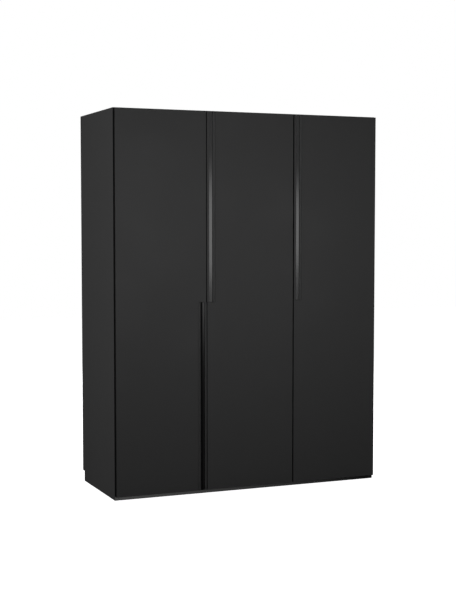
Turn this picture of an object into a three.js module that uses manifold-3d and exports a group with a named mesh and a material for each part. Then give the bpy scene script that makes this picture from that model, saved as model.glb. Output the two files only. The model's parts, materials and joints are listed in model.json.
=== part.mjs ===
// A free-standing wardrobe with three hinged doors and recessed grip profiles.
//
// Millimetres. The origin is on the floor, under the middle of the wardrobe. X runs to the right, Y from the
// door fronts towards the wall, and Z up. The left and middle doors close the wide bay, where clothes hang,
// and the right door closes the narrow bay, which holds shelves.

import * as THREE from 'three';
import { mergeVertices } from 'three/addons/utils/BufferGeometryUtils.js';
import Module from 'manifold-3d';

// ---------------------------------------------------------------- driving dimensions

// The whole wardrobe
const WIDTH = 1500;
const HEIGHT = 2000;
const CARCASS_DEPTH = 580;
const PLINTH_HEIGHT = 60;

// Boards
const CARCASS_BOARD = 18;
const DOOR_BOARD = 18;
const PLINTH_BOARD = 16;
const BACK_SHEET = 3;
const BOARD_JOINT = 0.3; // hair's breadth left in each butt joint

// Doors
const DOOR_COUNT = 3;
const DOOR_SIDE_REVEAL = 2.5; // how far the outer doors stop short of the wardrobe's sides
const DOOR_TOP_REVEAL = 3;
const DOOR_GAP = 5; // between neighbouring doors
const DOOR_SEAT = 2; // between a closed door and the carcass, where the buffers are
const DOOR_FLOOR_CLEARANCE = 20;

// Grip profiles: an extruded channel at the door's edge. From the edge inwards it has a lip for the fingers
// to pull, an open channel, and a rounded shoulder that leads them in from the door's face.
const GRIP_LIP = 11.5;
const GRIP_CHANNEL = 18.5;
const GRIP_SHOULDER = 17;
const GRIP_DEPTH = 10.5;
const GRIP_WALL = 1.6;
const GRIP_LIP_THICKNESS = 2.4;
const GRIP_PROUD = 2; // how far the profile stands out past the board's edge, which its wall covers
const GRIP_SEAT = 0.3; // play between the profile and its rebate

// Concealed hinges
const HINGES_PER_DOOR = 4;
const HINGE_FROM_DOOR_END = 100;
const CUP_BORE_RADIUS = 17.5;
const CUP_BORE_DEPTH = 12.7;
const CUP_EDGE_DISTANCE = 5; // wood left between the bore and the door's edge
const CUP_PLAY = 0.3;
const CUP_WALL = 1;
const CUP_FLANGE = 1.2;
const CUP_FLANGE_RADIUS = 18.8;
const CUP_WING_SPREAD = 48; // between the two screws of the flange
const CUP_WING_OFFSET = 6; // the screws sit further from the door's edge than the cup's centre
const CUP_WING_RADIUS = 6.5;
const ARM_WIDTH = 11;
const ARM_HEIGHT = 5.5;
const ARM_WALL = 1.2; // the arm is pressed from sheet, as a channel that is open towards the panel
const ARM_REACH = 11; // how far the arm's nose dips in front of the carcass, into the cup
const ARM_LENGTH = 62; // behind the carcass's front edge
const ARM_NECK_START = 7; // the neck bends between these two distances behind the front edge
const ARM_NECK_END = 24;
const ARM_NOSE_OFFSET = 1; // the nose lies this much nearer the panel than the cup's centre
const PLATE_THICKNESS = 2.5;
const PLATE_RIDGE_HEIGHT = 2.7;
const PLATE_RIDGE_WIDTH = 15;
const PLATE_FRONT = 27; // behind the carcass's front edge
const PLATE_LENGTH = 42;
const PLATE_SCREW_LINE = 37; // behind the carcass's front edge
const PLATE_SCREW_SPREAD = 32;
const PLATE_WING_RADIUS = 8;
const PIVOT_FROM_DOOR_EDGE = 5.5;
const PIVOT_BEHIND_DOOR_FRONT = 6;

// Back
const BACK_INSET = 8; // from the carcass's rear edge to the groove
const BACK_GROOVE_DEPTH = 8;
const BACK_PLAY = 0.5; // round a sheet in its groove
const BACK_SHEET_COUNT = 3;
const STRIP_WIDTH = 24;
const STRIP_WALL = 1.2;
const STRIP_WEB = 2;

// Skirting-board notch in the carcass sides
const NOTCH_DEPTH = 30;
const NOTCH_HEIGHT = 55;

// Interior
const SHELF_SETBACK = 22;
const SHELF_END_PLAY = 0.5;
const HAT_SPACE = 264; // clear height above the hat shelf
const SHELF_OVER_HINGE = 108; // from the second hinge up to the fixed shelf
const SHELF_UNDER_HINGE = 125; // from the third hinge down to the upper adjustable shelf
const PIN_BORE_RADIUS = 2.5;
const PIN_BORE_DEPTH = 10;
const PIN_PEG_LENGTH = 8;
const PIN_PLAY = 0.2;
const PIN_HEAD_RADIUS = 4;
const PIN_REACH = 8;
const PIN_ROW_INSET = 60; // from the shelf's front and rear edges
const PIN_HOLE_PITCH = 32;
const PIN_HOLES_EACH_WAY = 1;
const RAIL_HEIGHT = 30;
const RAIL_THICKNESS = 15;
const RAIL_WALL = 1.2;
const RAIL_DROP = 60; // from the hat shelf down to the middle of the rail
const BRACKET_PLATE = 2;
const BRACKET_WALL = 2.5;
const BRACKET_CUP = 12;
const BRACKET_EAR = 13;
const BRACKET_SCREW_RADIUS = 2.2;
const RAIL_SEAT = 0.3;

// Levelling feet under the partition
const FOOT_INSET = 90; // from the front and rear edges of the bottom panel
const FOOT_PAD_RADIUS = 24;
const FOOT_PAD_HEIGHT = 7;
const FOOT_PAD_ROUNDING = 2;
const FOOT_PAD_SLOPE = 3;
const FOOT_STEM_RADIUS = 6;
const FOOT_SOCKET_RADIUS = 17;
const FOOT_SOCKET_HEIGHT = 28;
const FOOT_FLANGE_RADIUS = 27;
const FOOT_FLANGE_HEIGHT = 4;
const REAR_PLINTH_INSET = 60; // from the rear edge of the bottom panel

// Facets
const CUP_SEGMENTS = 24;
const ROD_SEGMENTS = 16;
const HOLE_SEGMENTS = 8;
const CURVE_SEGMENTS = 5;
const SHOULDER_SEGMENTS = 8;
const CUT_MARGIN = 1; // a cutting body passes its face by this much

// ---------------------------------------------------------------- positions worked out from them

const LEFT = -WIDTH / 2;
const RIGHT = WIDTH / 2;
const TOTAL_DEPTH = DOOR_BOARD + DOOR_SEAT + CARCASS_DEPTH;
const DOOR_FRONT = -TOTAL_DEPTH / 2;
const DOOR_REAR = DOOR_FRONT + DOOR_BOARD;
const CARCASS_FRONT = DOOR_REAR + DOOR_SEAT;
const CARCASS_REAR = CARCASS_FRONT + CARCASS_DEPTH;

const DOOR_WIDTH = (WIDTH - 2 * DOOR_SIDE_REVEAL - (DOOR_COUNT - 1) * DOOR_GAP) / DOOR_COUNT;
const GRIP_WIDTH = GRIP_LIP + GRIP_CHANNEL + GRIP_SHOULDER;
const DOOR_BOTTOM = DOOR_FLOOR_CLEARANCE;
const DOOR_HEIGHT = HEIGHT - DOOR_TOP_REVEAL - DOOR_BOTTOM;
const doorLeftEdge = (index) => LEFT + DOOR_SIDE_REVEAL + index * (DOOR_WIDTH + DOOR_GAP);

const GROOVE_WIDTH = BACK_SHEET + 2 * BACK_PLAY;
const GROOVE_REAR = CARCASS_REAR - BACK_INSET;
const GROOVE_FRONT = GROOVE_REAR - GROOVE_WIDTH;
const SHEET_FRONT = GROOVE_FRONT + BACK_PLAY;
const STRIP_FRONT = SHEET_FRONT - BACK_PLAY - STRIP_WALL;
const INNER_REAR = STRIP_FRONT - BOARD_JOINT;

const PARTITION_MIDDLE = doorLeftEdge(DOOR_COUNT - 1) - DOOR_GAP / 2;
const PARTITION_LEFT = PARTITION_MIDDLE - CARCASS_BOARD / 2;
const PARTITION_RIGHT = PARTITION_MIDDLE + CARCASS_BOARD / 2;
const INNER_LEFT = LEFT + CARCASS_BOARD;
const INNER_RIGHT = RIGHT - CARCASS_BOARD;
const FLOOR_PANEL_TOP = PLINTH_HEIGHT + CARCASS_BOARD;
const TOP_PANEL_UNDERSIDE = HEIGHT - CARCASS_BOARD;

const SHELF_FRONT = CARCASS_FRONT + SHELF_SETBACK;
const PIN_ROWS = [SHELF_FRONT + PIN_ROW_INSET, INNER_REAR - PIN_ROW_INSET];

const CUP_RADIUS = CUP_BORE_RADIUS - CUP_PLAY;
const CUP_DEPTH = CUP_BORE_DEPTH - CUP_PLAY;
const CUP_FROM_DOOR_EDGE = CUP_EDGE_DISTANCE + CUP_BORE_RADIUS;
const HINGE_PITCH = (DOOR_HEIGHT - 2 * HINGE_FROM_DOOR_END) / (HINGES_PER_DOOR - 1);
const hingeLevel = (index) => DOOR_BOTTOM + HINGE_FROM_DOOR_END + index * HINGE_PITCH;

// Undersides of the shelves, above the floor. Each keeps clear of the hinge arms next to it.
const HAT_SHELF_LEVEL = TOP_PANEL_UNDERSIDE - HAT_SPACE - CARCASS_BOARD;
const FIXED_SHELF_LEVEL = hingeLevel(1) + SHELF_OVER_HINGE;
const LOWER_SHELF_LEVEL = (FLOOR_PANEL_TOP + FIXED_SHELF_LEVEL - CARCASS_BOARD) / 2;
const UPPER_SHELF_LEVEL = hingeLevel(HINGES_PER_DOOR - 2) - SHELF_UNDER_HINGE;

// ---------------------------------------------------------------- materials

function finish(color, roughness, metalness) {
  return new THREE.MeshStandardMaterial({ color, roughness, metalness });
}

const boardFinish = finish(0x2a2a2b, 0.6, 0);
const backFinish = finish(0x303031, 0.7, 0);
const gripFinish = finish(0x1a1a1b, 0.35, 0.6);
const steelFinish = finish(0xa9abad, 0.35, 1);
const chromeFinish = finish(0xd0d2d4, 0.12, 1);
const plasticFinish = finish(0x161616, 0.5, 0);

// ---------------------------------------------------------------- solid modelling helpers

const wasm = await Module();
wasm.setup();

// A solid for cutting and joining, from a closed geometry.
function solid(geometry) {
  const bare = geometry.clone();
  bare.deleteAttribute('normal');
  bare.deleteAttribute('uv');
  const merged = mergeVertices(bare, 1e-4);
  const corners = merged.index.array;
  const triangles = [];
  for (let i = 0; i < corners.length; i += 3) {
    const [a, b, c] = [corners[i], corners[i + 1], corners[i + 2]];
    if (a !== b && b !== c && c !== a) triangles.push(a, b, c);
  }
  const vertProperties = new Float32Array(merged.attributes.position.array);
  const triVerts = new Uint32Array(triangles);
  return new wasm.Manifold(new wasm.Mesh({ numProp: 3, vertProperties, triVerts }));
}

// The geometry of a solid that has been cut or joined.
function geometryOf(body) {
  const { vertProperties, triVerts } = body.getMesh();
  const geometry = new THREE.BufferGeometry();
  geometry.setAttribute('position', new THREE.BufferAttribute(vertProperties, 3));
  geometry.setIndex(new THREE.BufferAttribute(triVerts, 1));
  geometry.computeVertexNormals();
  return geometry;
}

function cut(geometry, cutters) {
  return geometryOf(cutters.reduce((body, cutter) => body.subtract(solid(cutter)), solid(geometry)));
}

function join(geometries) {
  return geometryOf(geometries.map(solid).reduce((body, other) => body.add(other)));
}

function named(name, geometry, material, x = 0, y = 0, z = 0) {
  const mesh = new THREE.Mesh(geometry, material);
  mesh.name = name;
  mesh.position.set(x, y, z);
  return mesh;
}

// A board between two opposite corners.
function board(x0, x1, y0, y1, z0, z1) {
  const geometry = new THREE.BoxGeometry(x1 - x0, y1 - y0, z1 - z0);
  return geometry.translate((x0 + x1) / 2, (y0 + y1) / 2, (z0 + z1) / 2);
}

// An outline drawn in (X, Y), raised along Z.
function raise(outline, height) {
  return new THREE.ExtrudeGeometry(outline, {
    depth: height,
    bevelEnabled: false,
    curveSegments: CURVE_SEGMENTS,
  });
}

// An outline drawn in (Y, Z), pushed along X.
function pushAlongX(outline, length) {
  const turn = new THREE.Matrix4().makeBasis(
    new THREE.Vector3(0, 1, 0),
    new THREE.Vector3(0, 0, 1),
    new THREE.Vector3(1, 0, 0),
  );
  return raise(outline, length).applyMatrix4(turn);
}

// A cylinder that lies along X, from x = 0 towards +X or -X by the sign of its length.
function rodAlongX(radius, length, segments) {
  const rod = new THREE.CylinderGeometry(radius, radius, Math.abs(length), segments);
  return rod.rotateZ(Math.PI / 2).translate(length / 2, 0, 0);
}

// A cylinder that lies along Y, from y = 0 towards the wall.
function rodAlongY(radius, length, segments) {
  const rod = new THREE.CylinderGeometry(radius, radius, length, segments);
  return rod.translate(0, length / 2, 0);
}

// Walks round corner points, each [x, y], as one closed outline.
function outlineThrough(points) {
  return new THREE.Shape(points.map(([x, y]) => new THREE.Vector2(x, y)));
}

// A slot with round ends, upright on the outline's second axis.
function uprightSlot(middleX, middleY, radius, spread) {
  const slot = new THREE.Shape();
  slot.absarc(middleX, middleY + spread / 2, radius, 0, Math.PI, false);
  slot.absarc(middleX, middleY - spread / 2, radius, Math.PI, 2 * Math.PI, false);
  return slot;
}

// ---------------------------------------------------------------- carcass

// The blind holes for shelf pins that a panel has on one face: a group round each adjustable shelf.
function pinHoles(faceX, inward) {
  const holes = [];
  for (const shelfLevel of [LOWER_SHELF_LEVEL, UPPER_SHELF_LEVEL]) {
    for (let step = -PIN_HOLES_EACH_WAY; step <= PIN_HOLES_EACH_WAY; step += 1) {
      for (const rowY of PIN_ROWS) {
        const hole = rodAlongX(PIN_BORE_RADIUS, -inward * (PIN_BORE_DEPTH + CUT_MARGIN), HOLE_SEGMENTS);
        const level = shelfLevel - PIN_HEAD_RADIUS - BOARD_JOINT + step * PIN_HOLE_PITCH;
        holes.push(hole.translate(faceX + inward * CUT_MARGIN, rowY, level));
      }
    }
  }
  return holes;
}

// A side panel stands on the floor and clears a skirting board at its lower rear corner. inward is +1 where
// the wardrobe's inside is on the panel's right, and -1 where it is on its left.
function sidePanel(name, outerX, inward, holes) {
  const outline = outlineThrough([
    [CARCASS_FRONT, 0],
    [CARCASS_REAR - NOTCH_DEPTH, 0],
    [CARCASS_REAR - NOTCH_DEPTH, NOTCH_HEIGHT],
    [CARCASS_REAR, NOTCH_HEIGHT],
    [CARCASS_REAR, HEIGHT],
    [CARCASS_FRONT, HEIGHT],
  ]);
  const leftX = inward > 0 ? outerX : outerX - CARCASS_BOARD;
  const innerX = outerX + inward * CARCASS_BOARD;
  const groove = board(
    Math.min(innerX - inward * BACK_GROOVE_DEPTH, innerX + inward * CUT_MARGIN),
    Math.max(innerX - inward * BACK_GROOVE_DEPTH, innerX + inward * CUT_MARGIN),
    GROOVE_FRONT,
    GROOVE_REAR,
    -CUT_MARGIN,
    TOP_PANEL_UNDERSIDE + BACK_GROOVE_DEPTH,
  );
  const blank = pushAlongX(outline, CARCASS_BOARD).translate(leftX, 0, 0);
  return named(name, cut(blank, [groove, ...holes]), boardFinish);
}

function partitionPanel() {
  const blank = board(
    PARTITION_LEFT,
    PARTITION_RIGHT,
    CARCASS_FRONT,
    INNER_REAR,
    FLOOR_PANEL_TOP + BOARD_JOINT,
    TOP_PANEL_UNDERSIDE - BOARD_JOINT,
  );
  return named('partition_panel', cut(blank, pinHoles(PARTITION_RIGHT, 1)), boardFinish);
}

function topPanel() {
  const left = INNER_LEFT + BOARD_JOINT;
  const right = INNER_RIGHT - BOARD_JOINT;
  const blank = board(left, right, CARCASS_FRONT, CARCASS_REAR, TOP_PANEL_UNDERSIDE, HEIGHT);
  const groove = board(
    left - CUT_MARGIN,
    right + CUT_MARGIN,
    GROOVE_FRONT,
    GROOVE_REAR,
    TOP_PANEL_UNDERSIDE - CUT_MARGIN,
    TOP_PANEL_UNDERSIDE + BACK_GROOVE_DEPTH,
  );
  return named('top_panel', cut(blank, [groove]), boardFinish);
}

// The bottom panel stops in front of the back, which is slid up behind it.
function bottomPanel() {
  const left = INNER_LEFT + BOARD_JOINT;
  const right = INNER_RIGHT - BOARD_JOINT;
  const geometry = board(left, right, CARCASS_FRONT, INNER_REAR, PLINTH_HEIGHT, FLOOR_PANEL_TOP);
  return named('bottom_panel', geometry, boardFinish);
}

function plinth(name, frontY) {
  const left = INNER_LEFT + BOARD_JOINT;
  const right = INNER_RIGHT - BOARD_JOINT;
  const geometry = board(left, right, frontY, frontY + PLINTH_BOARD, 0, PLINTH_HEIGHT - BOARD_JOINT);
  return named(name, geometry, boardFinish);
}

// A screw foot: a pad on the floor, its stem, and the socket that is fixed under the bottom panel.
function levellingFoot(name, y) {
  const top = PLINTH_HEIGHT - BOARD_JOINT;
  const profile = outlineThrough([
    [0, 0],
    [FOOT_PAD_RADIUS - FOOT_PAD_ROUNDING, 0],
    [FOOT_PAD_RADIUS, FOOT_PAD_ROUNDING],
    [FOOT_PAD_RADIUS, FOOT_PAD_HEIGHT - FOOT_PAD_SLOPE],
    [FOOT_STEM_RADIUS + FOOT_PAD_SLOPE, FOOT_PAD_HEIGHT],
    [FOOT_STEM_RADIUS, FOOT_PAD_HEIGHT],
    [FOOT_STEM_RADIUS, top - FOOT_SOCKET_HEIGHT],
    [FOOT_SOCKET_RADIUS, top - FOOT_SOCKET_HEIGHT],
    [FOOT_SOCKET_RADIUS, top - FOOT_FLANGE_HEIGHT],
    [FOOT_FLANGE_RADIUS, top - FOOT_FLANGE_HEIGHT],
    [FOOT_FLANGE_RADIUS, top],
    [0, top],
  ]);
  const turned = new THREE.LatheGeometry(profile.getPoints(), ROD_SEGMENTS).rotateX(Math.PI / 2);
  return named(name, geometryOf(solid(turned)), plasticFinish, PARTITION_MIDDLE, y, 0);
}

// ---------------------------------------------------------------- back

// The two joints between the three sheets: one behind the partition, one in the middle of the wide bay.
const STRIP_MIDDLES = [(INNER_LEFT + PARTITION_LEFT) / 2, PARTITION_MIDDLE];
const BACK_BOTTOM = NOTCH_HEIGHT + BACK_PLAY;
const BACK_TOP = TOP_PANEL_UNDERSIDE + BACK_GROOVE_DEPTH - BACK_PLAY;

function backSheet(name, index) {
  const left = index === 0
    ? INNER_LEFT - BACK_GROOVE_DEPTH + BACK_PLAY
    : STRIP_MIDDLES[index - 1] + STRIP_WEB / 2 + BACK_PLAY;
  const right = index === BACK_SHEET_COUNT - 1
    ? INNER_RIGHT + BACK_GROOVE_DEPTH - BACK_PLAY
    : STRIP_MIDDLES[index] - STRIP_WEB / 2 - BACK_PLAY;
  const geometry = board(left, right, SHEET_FRONT, SHEET_FRONT + BACK_SHEET, BACK_BOTTOM, BACK_TOP);
  return named(name, geometry, backFinish);
}

// An H-shaped strip that takes the edges of two sheets.
function backStrip(name, middleX) {
  const halfWidth = STRIP_WIDTH / 2;
  const halfWeb = STRIP_WEB / 2;
  const innerFront = STRIP_FRONT + STRIP_WALL;
  const innerRear = SHEET_FRONT + BACK_SHEET + BACK_PLAY;
  const rightHalf = [
    [halfWidth, STRIP_FRONT],
    [halfWidth, innerFront],
    [halfWeb, innerFront],
    [halfWeb, innerRear],
    [halfWidth, innerRear],
    [halfWidth, innerRear + STRIP_WALL],
  ];
  const leftHalf = rightHalf.map(([x, y]) => [-x, y]).reverse();
  const height = TOP_PANEL_UNDERSIDE - BOARD_JOINT - BACK_BOTTOM;
  const strip = raise(outlineThrough([...rightHalf, ...leftHalf]), height);
  return named(name, strip, plasticFinish, middleX, 0, BACK_BOTTOM);
}

// ---------------------------------------------------------------- interior

function shelf(name, bayLeft, bayRight, underside) {
  const geometry = board(
    bayLeft + SHELF_END_PLAY,
    bayRight - SHELF_END_PLAY,
    SHELF_FRONT,
    INNER_REAR,
    underside,
    underside + CARCASS_BOARD,
  );
  return named(name, geometry, boardFinish);
}

// A shelf pin: a peg in the panel's hole and a head that carries the shelf. outward is +1 where the pin
// stands out of the panel's face to the right.
function shelfPin(name, faceX, outward, y, shelfLevel) {
  const pegRadius = PIN_BORE_RADIUS - PIN_PLAY;
  const profile = outlineThrough([
    [0, -PIN_PEG_LENGTH],
    [pegRadius, -PIN_PEG_LENGTH],
    [pegRadius, PIN_PLAY],
    [PIN_HEAD_RADIUS, PIN_PLAY],
    [PIN_HEAD_RADIUS, PIN_REACH],
    [0, PIN_REACH],
  ]);
  const pin = new THREE.LatheGeometry(profile.getPoints(), HOLE_SEGMENTS).rotateZ(-Math.PI / 2);
  if (outward < 0) pin.rotateZ(Math.PI);
  const level = shelfLevel - PIN_HEAD_RADIUS - BOARD_JOINT;
  return named(name, geometryOf(solid(pin)), steelFinish, faceX, y, level);
}

// The stadium outline of the wardrobe rail, drawn in (Y, Z), grown by some amount all round.
function railOutline(grow) {
  return uprightSlot(0, 0, RAIL_THICKNESS / 2 + grow, RAIL_HEIGHT - RAIL_THICKNESS);
}

const RAIL_Y = (SHELF_FRONT + INNER_REAR) / 2;
const RAIL_LEVEL = HAT_SHELF_LEVEL - RAIL_DROP;

function wardrobeRail() {
  const outline = railOutline(0);
  outline.holes.push(railOutline(-RAIL_WALL));
  const endPlay = BRACKET_PLATE + BOARD_JOINT + RAIL_SEAT;
  const left = INNER_LEFT + endPlay;
  const length = PARTITION_LEFT - endPlay - left;
  return named('wardrobe_rail', pushAlongX(outline, length), chromeFinish, left, RAIL_Y, RAIL_LEVEL);
}

// A rail bracket: a plate with two screw ears, and a cup that is open at the top so that the rail drops in.
function railBracket(name, faceX, inward) {
  const outer = RAIL_THICKNESS / 2 + RAIL_SEAT + BRACKET_WALL;
  const straight = (RAIL_HEIGHT - RAIL_THICKNESS) / 2;
  const plate = uprightSlot(0, 0, outer, RAIL_HEIGHT - RAIL_THICKNESS + 2 * BRACKET_EAR);
  for (const end of [-1, 1]) {
    const screwHole = new THREE.Path();
    screwHole.absarc(0, end * (straight + BRACKET_EAR), BRACKET_SCREW_RADIUS, 0, 2 * Math.PI, true);
    plate.holes.push(screwHole);
  }
  const cup = new THREE.Shape();
  const inner = outer - BRACKET_WALL;
  cup.moveTo(-outer, straight);
  cup.lineTo(-outer, -straight);
  cup.absarc(0, -straight, outer, Math.PI, 2 * Math.PI, false);
  cup.lineTo(outer, straight);
  cup.lineTo(inner, straight);
  cup.lineTo(inner, -straight);
  cup.absarc(0, -straight, inner, 2 * Math.PI, Math.PI, true);
  cup.lineTo(-inner, straight);
  const plateBody = pushAlongX(plate, BRACKET_PLATE);
  const cupBody = pushAlongX(cup, BRACKET_PLATE + BRACKET_CUP);
  const bracket = join([plateBody, cupBody]);
  if (inward < 0) bracket.rotateZ(Math.PI);
  return named(name, bracket, chromeFinish, faceX + inward * BOARD_JOINT, RAIL_Y, RAIL_LEVEL);
}

// ---------------------------------------------------------------- doors

// Everything on a door is drawn from its hinged edge: u runs along the door from that edge towards the grip,
// and toGrip is +1 where that is to the right. The door's group lies on its hinge axis.
function doorBoard(name, toGrip, gripBottom, gripTop) {
  const u0 = -PIVOT_FROM_DOOR_EDGE;
  const u1 = u0 + DOOR_WIDTH;
  const v0 = -PIVOT_BEHIND_DOOR_FRONT;
  const v1 = v0 + DOOR_BOARD;
  const span = (a, b) => [Math.min(toGrip * a, toGrip * b), Math.max(toGrip * a, toGrip * b)];
  const blank = board(...span(u0, u1), v0, v1, 0, DOOR_HEIGHT);
  const rebate = board(
    ...span(u1 + GRIP_PROUD - GRIP_WIDTH - GRIP_SEAT, u1 + CUT_MARGIN),
    v0 - CUT_MARGIN,
    v0 + GRIP_DEPTH + GRIP_SEAT,
    gripBottom - (gripBottom === 0 ? CUT_MARGIN : GRIP_SEAT),
    gripTop + (gripTop === DOOR_HEIGHT ? CUT_MARGIN : GRIP_SEAT),
  );
  const bores = [];
  for (let index = 0; index < HINGES_PER_DOOR; index += 1) {
    const bore = rodAlongY(CUP_BORE_RADIUS, CUP_BORE_DEPTH + CUT_MARGIN, CUP_SEGMENTS);
    const level = hingeLevel(index) - DOOR_BOTTOM;
    bores.push(bore.translate(toGrip * (u0 + CUP_FROM_DOOR_EDGE), v1 - CUP_BORE_DEPTH, level));
  }
  return named(name, cut(blank, [rebate, ...bores]), boardFinish);
}

// A quarter of an ellipse round (u, v), from its u axis as far as the given angle towards the door's front.
function shoulderCurve(u, v, reachU, reachV, angle) {
  const points = [];
  for (let step = 0; step <= SHOULDER_SEGMENTS; step += 1) {
    const turn = (angle * step) / SHOULDER_SEGMENTS;
    points.push([u + reachU * Math.cos(turn), v - reachV * Math.sin(turn)]);
  }
  return points;
}

// The grip profile. Its outer wall covers the board's edge from front to rear, its lip reaches back over the
// channel, and its shoulder is a hollow chamber.
function gripProfile(name, toGrip, gripBottom, gripTop) {
  const edge = DOOR_WIDTH - PIVOT_FROM_DOOR_EDGE + GRIP_PROUD;
  const inner = edge - GRIP_WIDTH;
  const front = -PIVOT_BEHIND_DOOR_FRONT;
  const floor = front + GRIP_DEPTH - GRIP_WALL;
  const shoulderHeight = GRIP_DEPTH - GRIP_WALL;
  const section = [
    [edge, front],
    [edge, front + DOOR_BOARD],
    [edge - GRIP_WALL, front + DOOR_BOARD],
    [edge - GRIP_WALL, floor + GRIP_WALL],
    [inner, floor + GRIP_WALL],
    ...shoulderCurve(inner, floor, GRIP_SHOULDER, shoulderHeight, Math.PI / 2).reverse(),
    [edge - GRIP_WALL, floor],
    [edge - GRIP_WALL, front + GRIP_LIP_THICKNESS],
    [edge - GRIP_LIP + GRIP_WALL, front + GRIP_LIP_THICKNESS],
    [edge - GRIP_LIP, front + GRIP_WALL],
    [edge - GRIP_LIP, front],
  ];
  const chamberReach = GRIP_SHOULDER - GRIP_WALL;
  const chamber = [
    [inner + GRIP_WALL, floor],
    ...shoulderCurve(
      inner,
      floor,
      chamberReach,
      shoulderHeight - GRIP_WALL,
      Math.acos(GRIP_WALL / chamberReach),
    ),
  ];
  const length = gripTop - gripBottom;
  const drawn = (points) => outlineThrough(points.map(([u, v]) => [toGrip * u, v]));
  const bore = raise(drawn(chamber), length + 2 * CUT_MARGIN).translate(0, 0, -CUT_MARGIN);
  return named(name, cut(raise(drawn(section), length), [bore]), gripFinish, 0, 0, gripBottom);
}

// The hinge cup: a pressed cup in the door's bore, with a winged flange on the door's inner face.
function hingeCup(name, toGrip, level) {
  const cupU = toGrip * (CUP_FROM_DOOR_EDGE - PIVOT_FROM_DOOR_EDGE);
  const face = DOOR_BOARD - PIVOT_BEHIND_DOOR_FRONT;
  const flangeFront = BOARD_JOINT;
  const flange = new THREE.Shape().absarc(0, 0, CUP_FLANGE_RADIUS, 0, 2 * Math.PI, false);
  const wings = uprightSlot(toGrip * CUP_WING_OFFSET, 0, CUP_WING_RADIUS, CUP_WING_SPREAD);
  // The flange is drawn in (u, z) and stands up towards the carcass.
  const lay = (geometry) => geometry.rotateX(Math.PI / 2).translate(0, flangeFront + CUP_FLANGE, 0);
  const shellLength = CUP_DEPTH + flangeFront + CUP_FLANGE / 2;
  const shell = rodAlongY(CUP_RADIUS, shellLength, CUP_SEGMENTS).translate(0, -CUP_DEPTH, 0);
  const hollow = rodAlongY(CUP_RADIUS - CUP_WALL, CUP_DEPTH + CUP_BORE_DEPTH, CUP_SEGMENTS);
  const flat = [lay(raise(flange, CUP_FLANGE)), lay(raise(wings, CUP_FLANGE))];
  const pressed = cut(join([...flat, shell]), [hollow.translate(0, CUP_WALL - CUP_DEPTH, 0)]);
  return named(name, pressed, steelFinish, cupU, face, level);
}

function door(bodyName, index, toGrip, gripBottom, gripTop) {
  const group = new THREE.Group();
  const hingedEdge = doorLeftEdge(index) + (toGrip > 0 ? 0 : DOOR_WIDTH);
  group.position.set(
    hingedEdge + toGrip * PIVOT_FROM_DOOR_EDGE,
    DOOR_FRONT + PIVOT_BEHIND_DOOR_FRONT,
    DOOR_BOTTOM,
  );
  group.add(doorBoard(`${bodyName}_panel`, toGrip, gripBottom, gripTop));
  group.add(gripProfile(`${bodyName}_grip`, toGrip, gripBottom, gripTop));
  for (let index = 0; index < HINGES_PER_DOOR; index += 1) {
    const level = hingeLevel(index) - DOOR_BOTTOM;
    group.add(hingeCup(`${bodyName}_hinge_cup_${index + 1}`, toGrip, level));
  }
  return group;
}

// ---------------------------------------------------------------- hinge arms

// The arm's side view, drawn with a across the bay from the panel's face and b behind the carcass's front
// edge. Its rear lies on the mounting plate's ridge, and its neck bends to the middle of the cup.
function armOutline(cupMiddle, inward) {
  const seat = PLATE_THICKNESS + PLATE_RIDGE_HEIGHT;
  const nose = cupMiddle - ARM_NOSE_OFFSET - ARM_HEIGHT / 2;
  const halfway = (ARM_NECK_START + ARM_NECK_END) / 2;
  const tip = ARM_HEIGHT / 2;
  const at = (a, b) => [inward * a, b];
  const outline = new THREE.Shape();
  outline.moveTo(...at(seat, ARM_LENGTH));
  outline.lineTo(...at(seat, ARM_NECK_END));
  outline.bezierCurveTo(...at(seat, halfway), ...at(nose, halfway), ...at(nose, ARM_NECK_START));
  outline.lineTo(...at(nose, tip - ARM_REACH));
  outline.quadraticCurveTo(...at(nose, -ARM_REACH), ...at(nose + tip, -ARM_REACH));
  outline.quadraticCurveTo(...at(nose + ARM_HEIGHT, -ARM_REACH), ...at(nose + ARM_HEIGHT, tip - ARM_REACH));
  outline.lineTo(...at(nose + ARM_HEIGHT, ARM_NECK_START));
  outline.bezierCurveTo(
    ...at(nose + ARM_HEIGHT, halfway),
    ...at(seat + ARM_HEIGHT, halfway),
    ...at(seat + ARM_HEIGHT, ARM_NECK_END),
  );
  outline.lineTo(...at(seat + ARM_HEIGHT, ARM_LENGTH - tip));
  outline.lineTo(...at(seat + tip, ARM_LENGTH));
  return outline;
}

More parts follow.
